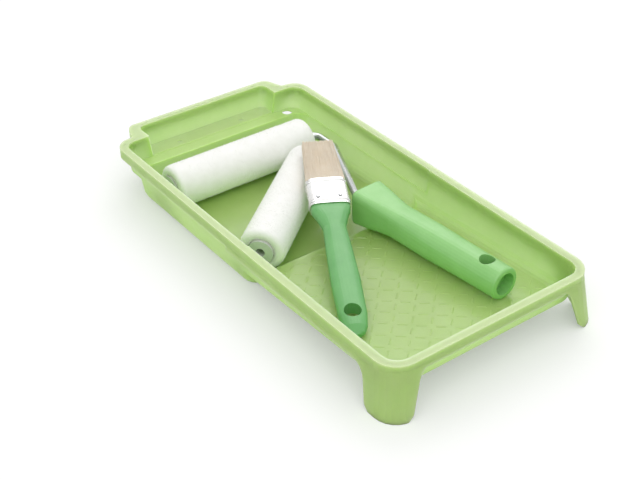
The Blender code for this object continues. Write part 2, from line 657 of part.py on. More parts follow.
def make_legs(shop):
    """Skirt round the front half of the tray, arched so that two splayed corner legs are left."""
    half = TRAY_WIDTH / 2 - LEG_TOP_INSET
    front = FRONT_Y + LEG_TOP_INSET
    rear = STEP_Y + SKIRT_PAST_STEP
    below = -2 * MM
    top = LEG_TOP_Z
    leans = (-LEG_SIDE_SPLAY, -LEG_FRONT_SPLAY, 0)
    skirt = drafted_block(shop, "leg_skirt", half, (front, rear), top, (0, 0), leans,
                          (RIM_CORNER - LEG_TOP_INSET, 0))
    lift = RIM_THICKNESS * 2
    inside = half - LEG_THICKNESS - LEG_SIDE_SPLAY * lift
    hollow = drafted_block(shop, "leg_hollow", inside,
                           (front + LEG_THICKNESS + LEG_FRONT_SPLAY * lift, rear + RIM_CORNER), top + lift,
                           (below, below), leans,
                           (RIM_CORNER - LEG_TOP_INSET - LEG_THICKNESS, 0))
    combine(skirt, hollow, "DIFFERENCE")
    skirt_z = TRAY_HEIGHT - SKIRT_DEPTH
    foot = 3 * MM
    side = rounded([
        (FRONT_Y + LEG_SIDE_LENGTH - 2 * foot, below, 0),
        (FRONT_Y + LEG_SIDE_LENGTH, foot, foot),
        (FRONT_Y + LEG_SIDE_LENGTH + LEG_SIDE_FLARE, skirt_z, SIDE_ARCH_RADIUS),
        (rear + RIM_CORNER, skirt_z, 0),
        (rear + RIM_CORNER, below, 0),
    ])
    upright = Matrix(((0, 0, 1), (1, 0, 0), (0, 1, 0))).to_4x4()
    combine(skirt, slab(shop, "side_arch", side, 2 * TRAY_WIDTH, upright), "DIFFERENCE")
    lip_z = TRAY_HEIGHT - RIM_THICKNESS - LIP_DEPTH / 2
    edge = TRAY_WIDTH / 2 - LEG_FRONT_LENGTH
    arch = edge - LEG_FRONT_FLARE
    front_arch = rounded([
        (-edge - 2 * foot, below, 0),
        (-edge, foot, foot),
        (-arch, lip_z, FRONT_ARCH_RADIUS),
        (arch, lip_z, FRONT_ARCH_RADIUS),
        (edge, foot, foot),
        (edge + 2 * foot, below, 0),
    ])
    depth = 2 * RIM_CORNER
    facing = Matrix.Translation((0, front, 0)) @ Matrix.Rotation(math.pi / 2, 4, "X")
    combine(skirt, slab(shop, "front_arch", front_arch, depth, facing), "DIFFERENCE")
    return skirt


def make_tray(shop):
    """The whole tray moulding."""
    rim = make_rim(shop)
    outer, inner = make_basin(shop)
    edit = bmesh.new()
    edit.from_mesh(rim.data)
    tray = shop.add("tray", edit, LEAF)
    tray.matrix_world = rim.matrix_world
    combine(tray, rim.modifiers[0].object, "DIFFERENCE")
    bpy.data.objects.remove(rim, do_unlink=True)
    for block in outer:
        combine(tray, block, "UNION")
    combine(tray, make_legs(shop), "UNION")
    for block in inner:
        combine(tray, block, "DIFFERENCE")
    combine(tray, make_ribs(shop), "UNION")
    hole_y = (LEDGE_Y + INNER_REAR_Y) / 2
    hole_x = TRAY_WIDTH / 2 - LEDGE_HOLE_FROM_SIDE
    hole = Matrix.Translation((hole_x, hole_y, LEDGE_Z))
    combine(tray, peg(shop, "ledge_hole", LEDGE_HOLE_RADIUS, 4 * WALL, hole), "DIFFERENCE")
    for side in (-1, 1):
        place = Matrix.Translation((side * DIMPLE_SPACING / 2, REAR_Y, LEDGE_Z + CLEARANCE))
        dimple = peg(shop, "ledge_dimple", DIMPLE_RADIUS, 2 * DIMPLE_DEPTH, place)
        combine(tray, dimple, "DIFFERENCE")
    smooth(tray)


def make_sleeve(shop, name, matrix):
    """Pile cover on a plastic tube with its two bushes and end cap, about local Z, open end at +Z."""
    carrier = shop.frame(name + "_axle", matrix)
    half = SLEEVE_LENGTH / 2
    bore = CORE_RADIUS + CLEARANCE
    arc = [math.pi / 2 * i / 4 for i in range(5)]
    waist = COVER_RADIUS - COVER_EDGE
    outer = [(waist + COVER_EDGE * math.sin(t), half - COVER_EDGE * (1 - math.cos(t))) for t in arc]
    outer += [(r, -z) for r, z in reversed(outer)]
    turned(shop, name + "_cover", [(bore, half)] + outer + [(bore, -half)], PILE, carrier, closed=True)
    tube = CORE_RADIUS - CORE_WALL
    core = [(tube, half), (CORE_RADIUS, half), (CORE_RADIUS, -half), (tube, -half)]
    turned(shop, name + "_core", core, NATURAL, carrier, closed=True)
    hub = WIRE_RADIUS + CLEARANCE
    plug = tube - CLEARANCE
    seat = half + CLEARANCE
    near = [(hub, seat + BUSH_FLANGE), (CORE_RADIUS, seat + BUSH_FLANGE), (CORE_RADIUS, seat), (plug, seat),
            (plug, half - BUSH_DEPTH), (hub, half - BUSH_DEPTH)]
    turned(shop, name + "_bush_near", near, NYLON, carrier, closed=True)
    start = FAR_BUSH_INSET - half + FAR_BUSH_LENGTH
    far = [(hub, start), (plug, start), (plug, start - FAR_BUSH_LENGTH), (hub, start - FAR_BUSH_LENGTH)]
    turned(shop, name + "_bush_far", far, NYLON, carrier, closed=True)
    cap = [(0, CAP_DEPTH - half), (plug, CAP_DEPTH - half), (plug, -seat), (CORE_RADIUS, -seat),
           (CORE_RADIUS, -seat - BUSH_FLANGE / 2), (CORE_RADIUS / 2, -seat - BUSH_FLANGE),
           (0, -seat - BUSH_FLANGE)]
    turned(shop, name + "_end_cap", cap, NYLON, carrier)
    return carrier


def make_wire(shop):
    """Bent rod from the handle's socket, round the sleeve's end and through both bushes."""
    along = (HANDLE_FRONT - HANDLE_BUTT).normalized()
    tail = HANDLE_FRONT - along * (SOCKET_DEPTH - CLEARANCE)
    lead = HANDLE_FRONT + along * WIRE_LEAD
    shoulder = Vector((WIRE_X, ROLLER_Y - WIRE_SHOULDER, SLEEVE_AXIS_Z))
    corner = Vector((WIRE_X, ROLLER_Y, SLEEVE_AXIS_Z))
    tip_x = ROLLER_X - SLEEVE_LENGTH / 2 + FAR_BUSH_INSET - 2 * CLEARANCE - RETAINER_THICKNESS - WIRE_TIP
    tip = Vector((tip_x, ROLLER_Y, SLEEVE_AXIS_Z))
    stops = [tail, lead, shoulder, corner, tip]
    points = [tail]
    for before, here, after in zip(stops, stops[1:], stops[2:]):
        back = (before - here).normalized()
        onward = (after - here).normalized()
        half = back.angle(onward) / 2
        centre = here + (back + onward).normalized() * WIRE_BEND / math.sin(half)
        start = here + back * WIRE_BEND / math.tan(half) - centre
        end = here + onward * WIRE_BEND / math.tan(half) - centre
        turns = [start.slerp(end, i / CORNER_STEPS) for i in range(CORNER_STEPS + 1)]
        points += [centre + turn.normalized() * WIRE_BEND for turn in turns]
    points.append(tip)
    curve = bpy.data.curves.new("roller_wire", "CURVE")
    curve.dimensions = "3D"
    curve.bevel_depth = WIRE_RADIUS
    curve.bevel_resolution = 4
    curve.use_fill_caps = True
    spline = curve.splines.new("POLY")
    spline.points.add(len(points) - 1)
    for point, place in zip(spline.points, points):
        point.co = (*place, 1)
    shop.place(bpy.data.objects.new("roller_wire", curve), STEEL, None)


def make_roller_handle(shop):
    """Moulded roller handle: round at its butt, waisted, then flared and squared at the front."""
    butt = 2 * HANDLE_BUTT_RADIUS
    grip = 2 * HANDLE_GRIP_RADIUS
    waist = 2 * HANDLE_WAIST_RADIUS
    wide = 2 * HANDLE_FLARE_HALF_WIDTH
    high = 2 * HANDLE_FLARE_HALF_HEIGHT
    length = HANDLE_LENGTH
    edge = HANDLE_EDGE
    sections = [
        (0, butt - 2 * edge, butt - 2 * edge, 2.1),
        (0.3 * edge, butt - 0.6 * edge, butt - 0.6 * edge, 2.1),
        (edge, butt, butt, 2.1),
        (0.3 * length, 0.5 * (butt + grip), 0.5 * (butt + grip), 2.2),
        (0.48 * length, grip, grip, 2.4),
        (0.62 * length, 0.5 * (grip + waist), 0.5 * (grip + waist), 2.7),
        (0.74 * length, waist, waist, 3.2),
        (0.82 * length, 0.75 * waist + 0.25 * wide, 0.75 * waist + 0.25 * high, 4.2),
        (0.90 * length, 0.35 * waist + 0.65 * wide, 0.35 * waist + 0.65 * high, 5.5),
        (length - edge, wide, high, 6.5),
        (length - 0.3 * edge, wide - 0.6 * edge, high - 0.6 * edge, 6.5),
        (length, wide - 2 * edge, high - 2 * edge, 6.5),
    ]
    handle = shop.add("roller_handle", loft(sections, ROUND_STEPS), GRIP)
    handle.matrix_world = axis_matrix(HANDLE_BUTT, HANDLE_FRONT)
    lying = handle.matrix_world @ Matrix.Rotation(math.pi / 2, 4, "Y")
    socket = lying @ Matrix.Translation((0, 0, length))
    bore = WIRE_RADIUS + CLEARANCE
    combine(handle, peg(shop, "wire_socket", bore, 2 * SOCKET_DEPTH, socket), "DIFFERENCE")
    combine(handle, peg(shop, "butt_bore", BUTT_BORE_RADIUS, 2 * BUTT_BORE_DEPTH, lying), "DIFFERENCE")
    upright = handle.matrix_world @ Matrix.Translation((HANG_HOLE_FROM_BUTT, 0, 0))
    combine(handle, peg(shop, "handle_hole", HANG_HOLE_RADIUS, 2 * grip, upright), "DIFFERENCE")
    smooth(handle)


def make_roller(shop):
    """Mini roller: sleeve on its rod, retainer and handle."""
    axle = Matrix.Translation((ROLLER_X, ROLLER_Y, SLEEVE_AXIS_Z)) @ Matrix.Rotation(math.pi / 2, 4, "Y")
    carrier = make_sleeve(shop, "roller", axle)
    make_wire(shop)
    top = FAR_BUSH_INSET - SLEEVE_LENGTH / 2 - CLEARANCE
    hub = WIRE_RADIUS + CLEARANCE
    ring = [(hub, top), (RETAINER_RADIUS, top), (RETAINER_RADIUS, top - RETAINER_THICKNESS),
            (hub, top - RETAINER_THICKNESS)]
    turned(shop, "roller_retainer", ring, STEEL, carrier, closed=True)
    make_roller_handle(shop)


def nail_places():
    """Name, place across the ferrule and turn of each nail: two on the upper face and two on the lower."""
    places = []
    for face, turn in (("upper", 0.0), ("lower", math.pi)):
        for hand, across in (("right", -NAIL_SPACING / 2), ("left", NAIL_SPACING / 2)):
            places.append((face + "_" + hand, across, Matrix.Rotation(turn, 4, "X")))
    return places


def make_nails(shop, carrier):
    """Domed nails that pin the ferrule to the handle's tongue."""
    face = FERRULE_THICKNESS / 2 + CLEARANCE
    crown = face + NAIL_HEAD_HEIGHT
    profile = [(0, crown), (0.7 * NAIL_HEAD_RADIUS, crown), (NAIL_HEAD_RADIUS, face), (NAIL_RADIUS, face),
               (NAIL_RADIUS, face - NAIL_LENGTH), (0, face - NAIL_LENGTH)]
    for name, across, turn in nail_places():
        nail = turned(shop, "brush_nail_" + name, profile, STEEL, carrier, steps=SMALL_STEPS)
        nail.matrix_local = Matrix.Translation((FERRULE_START + NAIL_FROM_EDGE, across, 0)) @ turn


def nail_pegs(shop, carrier):
    """Cutters for the nail holes through the ferrule and into the handle's tongue."""
    pegs = []
    reach = FERRULE_THICKNESS / 2 - NAIL_LENGTH
    depth = FERRULE_THICKNESS - reach
    for name, across, turn in nail_places():
        seat = Matrix.Translation((FERRULE_START + NAIL_FROM_EDGE, across, 0)) @ turn
        middle = carrier.matrix_world @ seat @ Matrix.Translation((0, 0, reach + depth / 2))
        pegs.append(peg(shop, "nail_hole_" + name, NAIL_RADIUS + CLEARANCE, depth, middle))
    return pegs


def make_brush(shop):
    """Flat brush: beavertail handle, beaded ferrule, bristle pack, filler wedge, resin plug and nails."""
    turn = Matrix.Rotation(BRUSH_HEADING, 4, "Z") @ Matrix.Rotation(-BRUSH_PITCH, 4, "Y")
    carrier = shop.frame("brush_axis", Matrix.Translation(BRUSH_BUTT) @ turn)
    pegs = nail_pegs(shop, carrier)
    tongue = [(FERRULE_START, PACK_WIDTH, PACK_THICKNESS, 4.0),
              (TONGUE_END, PACK_WIDTH, PACK_THICKNESS, 4.0)]
    handle = shop.add("brush_handle", loft(brush_handle_sections() + tongue, ROUND_STEPS), GRIP, carrier)
    hole = carrier.matrix_world @ Matrix.Translation((BRUSH_HOLE_FROM_END, 0, 0))
    span = 2 * BRUSH_HANDLE_THICKNESS
    combine(handle, peg(shop, "brush_hole", BRUSH_HOLE_RADIUS, span, hole), "DIFFERENCE")
    ferrule_rings = []
    for start, sign in ((FERRULE_START, 1), (FERRULE_END, -1)):
        stops = [(0, 0), (FERRULE_BEAD_INSET - 2 * FERRULE_BEAD, 0), (FERRULE_BEAD_INSET, 2 * FERRULE_BEAD),
                 (FERRULE_BEAD_INSET + 2 * FERRULE_BEAD, 0)]
        rings = [(start + sign * (along + CLEARANCE), FERRULE_WIDTH + grow, FERRULE_THICKNESS + grow, 4.0)
                 for along, grow in stops]
        ferrule_rings += rings if sign > 0 else reversed(rings)
    ferrule = shop.add("brush_ferrule", loft(ferrule_rings, ROUND_STEPS, capped=False), STEEL, carrier)
    shell = ferrule.modifiers.new("wall", "SOLIDIFY")
    shell.thickness = FERRULE_WALL
    shell.offset = -1
    for tool in pegs:
        combine(ferrule, tool, "DIFFERENCE")
        combine(handle, tool, "DIFFERENCE")
    plug = [(TONGUE_END + CLEARANCE, PACK_WIDTH, PACK_THICKNESS, 4.0),
            (RESIN_END, PACK_WIDTH, PACK_THICKNESS, 4.0)]
    resin = shop.add("brush_resin", loft(plug, ROUND_STEPS), RESIN, carrier)
    pack = shop.add("brush_bristles", loft(bristle_sections(), ROUND_STEPS), BRISTLE, carrier)
    wedge = [(ROOT_START, FILLER_WIDTH, FILLER_THICKNESS, 4.0),
             (ROOT_START + FILLER_LENGTH, FILLER_WIDTH, FILLER_THICKNESS * 0.6, 4.0)]
    filler = shop.add("brush_filler", loft(wedge, SMALL_STEPS), TIMBER, carrier)
    room = 2 * CLEARANCE
    slot = [(ROOT_START - room, FILLER_WIDTH + room, FILLER_THICKNESS + room, 4.0),
            (ROOT_START + FILLER_LENGTH + CLEARANCE, FILLER_WIDTH + room, FILLER_THICKNESS + room, 4.0)]
    cutter = shop.add("filler_slot", loft(slot, SMALL_STEPS))
    cutter.matrix_world = carrier.matrix_world
    combine(pack, cutter, "DIFFERENCE")
    for piece in (handle, ferrule, resin, pack, filler):
        smooth(piece)
    make_nails(shop, carrier)


def main():
    """Build the tray and everything that lies in it."""
    shop = Workshop()
    make_tray(shop)
    make_roller(shop)
    facing = Matrix.Rotation(SPARE_HEADING + math.pi, 4, "Z") @ Matrix.Rotation(math.pi / 2, 4, "Y")
    make_sleeve(shop, "spare", Matrix.Translation(SPARE_CENTRE) @ facing)
    make_brush(shop)


main()
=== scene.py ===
"""Paint tray set: finishes, pile covers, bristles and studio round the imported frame."""
import json
import logging
import math
from dataclasses import dataclass, field
from enum import Enum

import bmesh
import bpy
from mathutils import Euler, Matrix, Vector

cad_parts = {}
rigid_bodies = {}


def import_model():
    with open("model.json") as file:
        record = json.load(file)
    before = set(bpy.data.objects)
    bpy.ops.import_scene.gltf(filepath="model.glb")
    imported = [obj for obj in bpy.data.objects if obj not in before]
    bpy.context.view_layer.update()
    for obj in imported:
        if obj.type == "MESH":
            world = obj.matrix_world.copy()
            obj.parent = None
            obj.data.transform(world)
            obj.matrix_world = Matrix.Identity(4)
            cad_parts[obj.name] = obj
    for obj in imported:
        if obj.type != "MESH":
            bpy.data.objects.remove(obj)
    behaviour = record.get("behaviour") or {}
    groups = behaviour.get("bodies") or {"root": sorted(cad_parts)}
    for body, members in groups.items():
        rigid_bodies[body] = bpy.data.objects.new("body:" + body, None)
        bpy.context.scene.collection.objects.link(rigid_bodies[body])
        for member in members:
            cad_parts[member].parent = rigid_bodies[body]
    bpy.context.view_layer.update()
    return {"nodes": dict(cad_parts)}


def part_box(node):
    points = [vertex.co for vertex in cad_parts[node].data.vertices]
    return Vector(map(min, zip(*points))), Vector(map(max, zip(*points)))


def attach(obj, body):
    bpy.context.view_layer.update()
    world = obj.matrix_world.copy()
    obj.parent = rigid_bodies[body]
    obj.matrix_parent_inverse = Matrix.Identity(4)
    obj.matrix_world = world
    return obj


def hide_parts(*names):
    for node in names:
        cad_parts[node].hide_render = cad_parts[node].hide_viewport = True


for leftover in list(bpy.data.objects):
    bpy.data.objects.remove(leftover, do_unlink=True)
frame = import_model()

LOG = logging.getLogger("paint_tray_set")
MM = 0.001
SPARE_HEADING = math.radians(38)
BRUSH_PITCH = 0.128688
BRUSH_HEADING = math.radians(60.6)
BRUSH_TURN = Euler((0.0, -BRUSH_PITCH, BRUSH_HEADING))
BRUSH_BUTT = Vector((-56.68, -97.81, 16.29)) * MM
FERRULE_BEADS = (112.3 * MM, 130.7 * MM)
MIX_SHARE, MIX_FIRST, MIX_SECOND, MIX_RESULT = 0, 6, 7, 2
Colour = tuple[float, float, float]


class Sleeve(Enum):
    """The two roller sleeves, by the prefix of their nodes."""

    ROLLER = "roller"
    SPARE = "spare"


def linear(red: int, green: int, blue: int) -> Colour:
    """Turn a colour written in eight-bit display values into linear light.

    Args:
        red: Red from 0 to 255.
        green: Green from 0 to 255.
        blue: Blue from 0 to 255.

    Returns:
        The three linear values.
    """
    values = []
    for channel in (red, green, blue):
        share = channel / 255
        values.append(share / 12.92 if share <= 0.04045 else ((share + 0.055) / 1.055) ** 2.4)
    return values[0], values[1], values[2]


def centre_of(node: str) -> Vector:
    """Give the middle of a node's box."""
    low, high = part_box(node)
    return (low + high) / 2


class Canvas:
    """Adds nodes to a node tree and joins their sockets."""

    def __init__(self, tree: bpy.types.NodeTree) -> None:
        """Keep the tree that is drawn in."""
        self.tree = tree

    def add(self, kind: str, values: dict | None = None, **settings: object) -> bpy.types.Node:
        """Add a node.

        Args:
            kind: Blender's type name of the node.
            values: Input values, by the name or the number of the socket.
            settings: Attributes of the node itself.

        Returns:
            The new node.
        """
        node = self.tree.nodes.new(kind)
        for name, value in settings.items():
            setattr(node, name, value)
        for name, value in (values or {}).items():
            node.inputs[name].default_value = value
        return node

    def join(self, source: bpy.types.NodeSocket, target: bpy.types.NodeSocket) -> None:
        """Link an output to an input."""
        self.tree.links.new(source, target)

    def math(self, operation: str, first: object, second: object) -> bpy.types.NodeSocket:
        """Add a Math node for two sockets or numbers.

        Args:
            operation: Name of the operation.
            first: Socket or number of the first input.
            second: Socket or number of the second input.

        Returns:
            The result's socket.
        """
        node = self.add("ShaderNodeMath", operation=operation)
        for index, value in enumerate((first, second)):
            if isinstance(value, bpy.types.NodeSocket):
                self.join(value, node.inputs[index])
            else:
                node.inputs[index].default_value = value
        return node.outputs[0]

    def blend(self, share: bpy.types.NodeSocket, first: object, second: object) -> bpy.types.NodeSocket:
        """Add a Mix node for two colours, each a socket or three linear values.

        Args:
            share: Socket of the second colour's share.
            first: First colour.
            second: Second colour.

        Returns:
            The mixed colour's socket.
        """
        node = self.add("ShaderNodeMix", data_type="RGBA")
        self.join(share, node.inputs[MIX_SHARE])
        for index, value in ((MIX_FIRST, first), (MIX_SECOND, second)):
            if isinstance(value, bpy.types.NodeSocket):
                self.join(value, node.inputs[index])
            else:
                node.inputs[index].default_value = (*value, 1)
        return node.outputs[MIX_RESULT]


class Effects:
    """Shader groups that the finishes share, each built once."""

    def __init__(self) -> None:
        """Build every group."""
        self.mottle = self._mottle()
        self.scuff = self._scuff()
        self.relief = self._relief()
        self.strands = self._strands()

    @staticmethod
    def _group(name: str, inputs: dict[str, str], outputs: dict[str, str]) -> tuple[Canvas, dict, dict]:
        """Make a shader group with named sockets.

        Args:
            name: Name of the group.
            inputs: Socket types of the inputs, by name.
            outputs: Socket types of the outputs, by name.

        Returns:
            The canvas of the group, its input sockets by name and its output sockets by name.
        """
        tree = bpy.data.node_groups.new(name, "ShaderNodeTree")
        for way, sockets in (("INPUT", inputs), ("OUTPUT", outputs)):
            for label, kind in sockets.items():
                tree.interface.new_socket(name=label, in_out=way, socket_type="NodeSocket" + kind)
        canvas = Canvas(tree)
        source = canvas.add("NodeGroupInput")
        target = canvas.add("NodeGroupOutput")
        given = {label: source.outputs[label] for label in inputs}
        wanted = {label: target.inputs[label] for label in outputs}
        return canvas, given, wanted

    def _mottle(self) -> bpy.types.NodeTree:
        """Soft cloudy change between a colour and a shade of it."""
        canvas, given, wanted = self._group(
            "cloudy_mottle", {"Vector": "Vector", "Colour": "Color", "Shade": "Color", "Scale": "Float"},
            {"Colour": "Color"})
        noise = canvas.add("ShaderNodeTexNoise", {"Detail": 4.0, "Roughness": 0.6})
        canvas.join(given["Vector"], noise.inputs["Vector"])
        canvas.join(given["Scale"], noise.inputs["Scale"])
        spread = canvas.add("ShaderNodeMapRange", {"From Min": 0.32, "From Max": 0.68})
        canvas.join(noise.outputs["Fac"], spread.inputs["Value"])
        mixed = canvas.blend(spread.outputs["Result"], given["Colour"], given["Shade"])
        canvas.join(mixed, wanted["Colour"])
        return canvas.tree

    def _scuff(self) -> bpy.types.NodeTree:
        """Roughness that drifts between a low and a high value."""
        canvas, given, wanted = self._group(
            "gloss_scuff", {"Vector": "Vector", "Scale": "Float", "Low": "Float", "High": "Float"},
            {"Roughness": "Float"})
        noise = canvas.add("ShaderNodeTexNoise", {"Detail": 6.0, "Roughness": 0.65})
        canvas.join(given["Vector"], noise.inputs["Vector"])
        canvas.join(given["Scale"], noise.inputs["Scale"])
        spread = canvas.add("ShaderNodeMapRange", {"From Min": 0.3, "From Max": 0.7})
        canvas.join(noise.outputs["Fac"], spread.inputs["Value"])
        canvas.join(given["Low"], spread.inputs["To Min"])
        canvas.join(given["High"], spread.inputs["To Max"])
        canvas.join(spread.outputs["Result"], wanted["Roughness"])
        return canvas.tree

    def _relief(self) -> bpy.types.NodeTree:
        """Fine orange-peel relief of a moulded or cast face."""
        fine_rate = 2.5
        fine_share = 0.35
        canvas, given, wanted = self._group(
            "moulded_relief", {"Vector": "Vector", "Scale": "Float"}, {"Height": "Float"})
        broad = canvas.add("ShaderNodeTexNoise", {"Detail": 2.0})
        fine = canvas.add("ShaderNodeTexVoronoi")
        canvas.join(given["Vector"], broad.inputs["Vector"])
        canvas.join(given["Vector"], fine.inputs["Vector"])
        canvas.join(given["Scale"], broad.inputs["Scale"])
        canvas.join(canvas.math("MULTIPLY", given["Scale"], fine_rate), fine.inputs["Scale"])
        faint = canvas.math("MULTIPLY", fine.outputs["Distance"], fine_share)
        canvas.join(canvas.math("ADD", broad.outputs["Fac"], faint), wanted["Height"])
        return canvas.tree

    def _strands(self) -> bpy.types.NodeTree:
        """Streaks along the first axis of the vector, as of drawn metal, wood or filaments."""
        canvas, given, wanted = self._group(
            "long_strands", {"Vector": "Vector", "Along": "Float", "Across": "Float"}, {"Streak": "Float"})
        split = canvas.add("ShaderNodeSeparateXYZ")
        canvas.join(given["Vector"], split.inputs[0])
        packed = canvas.add("ShaderNodeCombineXYZ")
        for axis, rate in (("X", "Along"), ("Y", "Across"), ("Z", "Across")):
            canvas.join(canvas.math("MULTIPLY", split.outputs[axis], given[rate]), packed.inputs[axis])
        noise = canvas.add("ShaderNodeTexNoise", {"Scale": 1.0, "Detail": 3.0, "Roughness": 0.6})
        canvas.join(packed.outputs[0], noise.inputs["Vector"])
        spread = canvas.add("ShaderNodeMapRange", {"From Min": 0.3, "From Max": 0.7})
        canvas.join(noise.outputs["Fac"], spread.inputs["Value"])
        canvas.join(spread.outputs["Result"], wanted["Streak"])
        return canvas.tree


@dataclass(frozen=True)
class Finish:
    """What every finish has: a name, a colour with its shade, and a range of roughness."""

    name: str
    colour: Colour
    shade: Colour
    rough_low: float
    rough_high: float
    mottle_scale: float = 60.0
    scuff_rate: float = 3.0
    turn: tuple[float, float, float] = (0.0, 0.0, 0.0)

    def material(self, effects: Effects) -> bpy.types.Material:
        """Build the material, which each kind of finish does in its own way."""
        raise NotImplementedError

    def start(self) -> tuple[Canvas, bpy.types.Node, bpy.types.NodeSocket]:
        """Begin the material.

        Returns:
            The canvas, the Principled shader and the pattern's coordinates on the piece.
        """
        material = bpy.data.materials.new(self.name)
        material.use_nodes = True
        canvas = Canvas(material.node_tree)
        shader = material.node_tree.nodes["Principled BSDF"]
        places = canvas.add("ShaderNodeTexCoord")
        mapping = canvas.add("ShaderNodeMapping", {"Rotation": self.turn}, vector_type="TEXTURE")
        canvas.join(places.outputs["Object"], mapping.inputs["Vector"])
        return canvas, shader, mapping.outputs["Vector"]

    def clouded(self, canvas: Canvas, effects: Effects, where: bpy.types.NodeSocket) -> bpy.types.NodeSocket:
        """Place the mottle group with this finish's colours.

        Args:
            canvas: Canvas of the material.
            effects: The shared groups.
            where: Pattern coordinates.

        Returns:
            The colour's socket.
        """
        group = canvas.add("ShaderNodeGroup", node_tree=effects.mottle)
        group.inputs["Colour"].default_value = (*self.colour, 1)
        group.inputs["Shade"].default_value = (*self.shade, 1)
        group.inputs["Scale"].default_value = self.mottle_scale
        canvas.join(where, group.inputs["Vector"])
        return group.outputs["Colour"]

    def scuffed(self, canvas: Canvas, effects: Effects, shader: bpy.types.Node,
                where: bpy.types.NodeSocket) -> None:
        """Feed the shader's roughness from the scuff group."""
        group = canvas.add("ShaderNodeGroup", node_tree=effects.scuff)
        group.inputs["Scale"].default_value = self.mottle_scale * self.scuff_rate
        group.inputs["Low"].default_value = self.rough_low
        group.inputs["High"].default_value = self.rough_high
        canvas.join(where, group.inputs["Vector"])
        canvas.join(group.outputs["Roughness"], shader.inputs["Roughness"])

    @staticmethod
    def bumped(canvas: Canvas, shader: bpy.types.Node, height: bpy.types.NodeSocket, depth: float) -> None:
        """Feed the shader's normal from a height.

        Args:
            canvas: Canvas of the material.
            shader: The Principled shader.
            height: Height socket from 0 to 1.
            depth: Depth of the relief in metres.
        """
        bump = canvas.add("ShaderNodeBump", {"Strength": 1.0, "Distance": depth})
        canvas.join(height, bump.inputs["Height"])
        canvas.join(bump.outputs["Normal"], shader.inputs["Normal"])


@dataclass(frozen=True)
class PlasticFinish(Finish):
    """Moulded plastic with a faint relief."""

    relief_scale: float = 900.0
    relief_depth: float = 0.00004
    coat: float = 0.0
    translucence: float = 0.0
    light_reach: float = 0.004

    def toned(self, canvas: Canvas, colour: bpy.types.NodeSocket,
              where: bpy.types.NodeSocket) -> bpy.types.NodeSocket:
        """Give the colour that the shader takes, here the mottled colour as it is."""
        return colour

    def material(self, effects: Effects) -> bpy.types.Material:
        """Build the material.

        Args:
            effects: The shared groups.

        Returns:
            The finished material.
        """
        canvas, shader, where = self.start()
        mottled = self.clouded(canvas, effects, where)
        canvas.join(self.toned(canvas, mottled, where), shader.inputs["Base Color"])
        self.scuffed(canvas, effects, shader, where)
        relief = canvas.add("ShaderNodeGroup", node_tree=effects.relief)
        relief.inputs["Scale"].default_value = self.relief_scale
        canvas.join(where, relief.inputs["Vector"])
        self.bumped(canvas, shader, relief.outputs["Height"], self.relief_depth)
        shader.inputs["Coat Weight"].default_value = self.coat
        shader.inputs["Subsurface Weight"].default_value = self.translucence
        shader.inputs["Subsurface Radius"].default_value = (1.0, 1.0, 1.0)
        shader.inputs["Subsurface Scale"].default_value = self.light_reach
        return bpy.data.materials[self.name]


@dataclass(frozen=True)
class TrayFinish(PlasticFinish):
    """Tray plastic with a painted highlight: paler along the rim where the flange catches and passes the
    light.
    """

    # painted highlight: the rim colour is paler than the plastic and stands in for light on the rim's top
    rim_highlight_colour: Colour = (1.0, 1.0, 1.0)
    rim_highlight_from: float = 0.0
    rim_highlight_to: float = 1.0

    def toned(self, canvas: Canvas, colour: bpy.types.NodeSocket,
              where: bpy.types.NodeSocket) -> bpy.types.NodeSocket:
        """Blend the mottled colour into the rim's painted highlight by height.

        Args:
            canvas: Canvas of the material.
            colour: The mottled colour.
            where: Pattern coordinates.

        Returns:
            The colour with its painted highlight on the rim.
        """
        split = canvas.add("ShaderNodeSeparateXYZ")
        canvas.join(where, split.inputs[0])
        height = canvas.add("ShaderNodeMapRange", {"From Min": self.rim_highlight_from, "From Max": self.rim_highlight_to})
        canvas.join(split.outputs["Z"], height.inputs["Value"])
        return canvas.blend(height.outputs["Result"], colour, self.rim_highlight_colour)


@dataclass(frozen=True)
class StrandFinish(Finish):
    """Finish with streaks along the piece: drawn steel, raw wood or filaments."""

    along: float = 60.0
    across: float = 3000.0
    metallic: float = 0.0
    relief_depth: float = 0.00002
    sheen: float = 0.0

    def toned(self, canvas: Canvas, colour: bpy.types.NodeSocket) -> bpy.types.NodeSocket:
        """Give the colour that the shader takes, here the streaked colour as it is."""
        return colour

    def material(self, effects: Effects) -> bpy.types.Material:
        """Build the material.

        Args:
            effects: The shared groups.

        Returns:
            The finished material.
        """
        canvas, shader, where = self.start()
        strands = canvas.add("ShaderNodeGroup", node_tree=effects.strands)
        strands.inputs["Along"].default_value = self.along
        strands.inputs["Across"].default_value = self.across
        canvas.join(where, strands.inputs["Vector"])
        mottled = self.clouded(canvas, effects, where)
        streaked = canvas.blend(strands.outputs["Streak"], mottled, self.shade)
        canvas.join(self.toned(canvas, streaked), shader.inputs["Base Color"])
        self.scuffed(canvas, effects, shader, where)
        self.bumped(canvas, shader, strands.outputs["Streak"], self.relief_depth)
        shader.inputs["Metallic"].default_value = self.metallic
        shader.inputs["Sheen Weight"].default_value = self.sheen
        return bpy.data.materials[self.name]


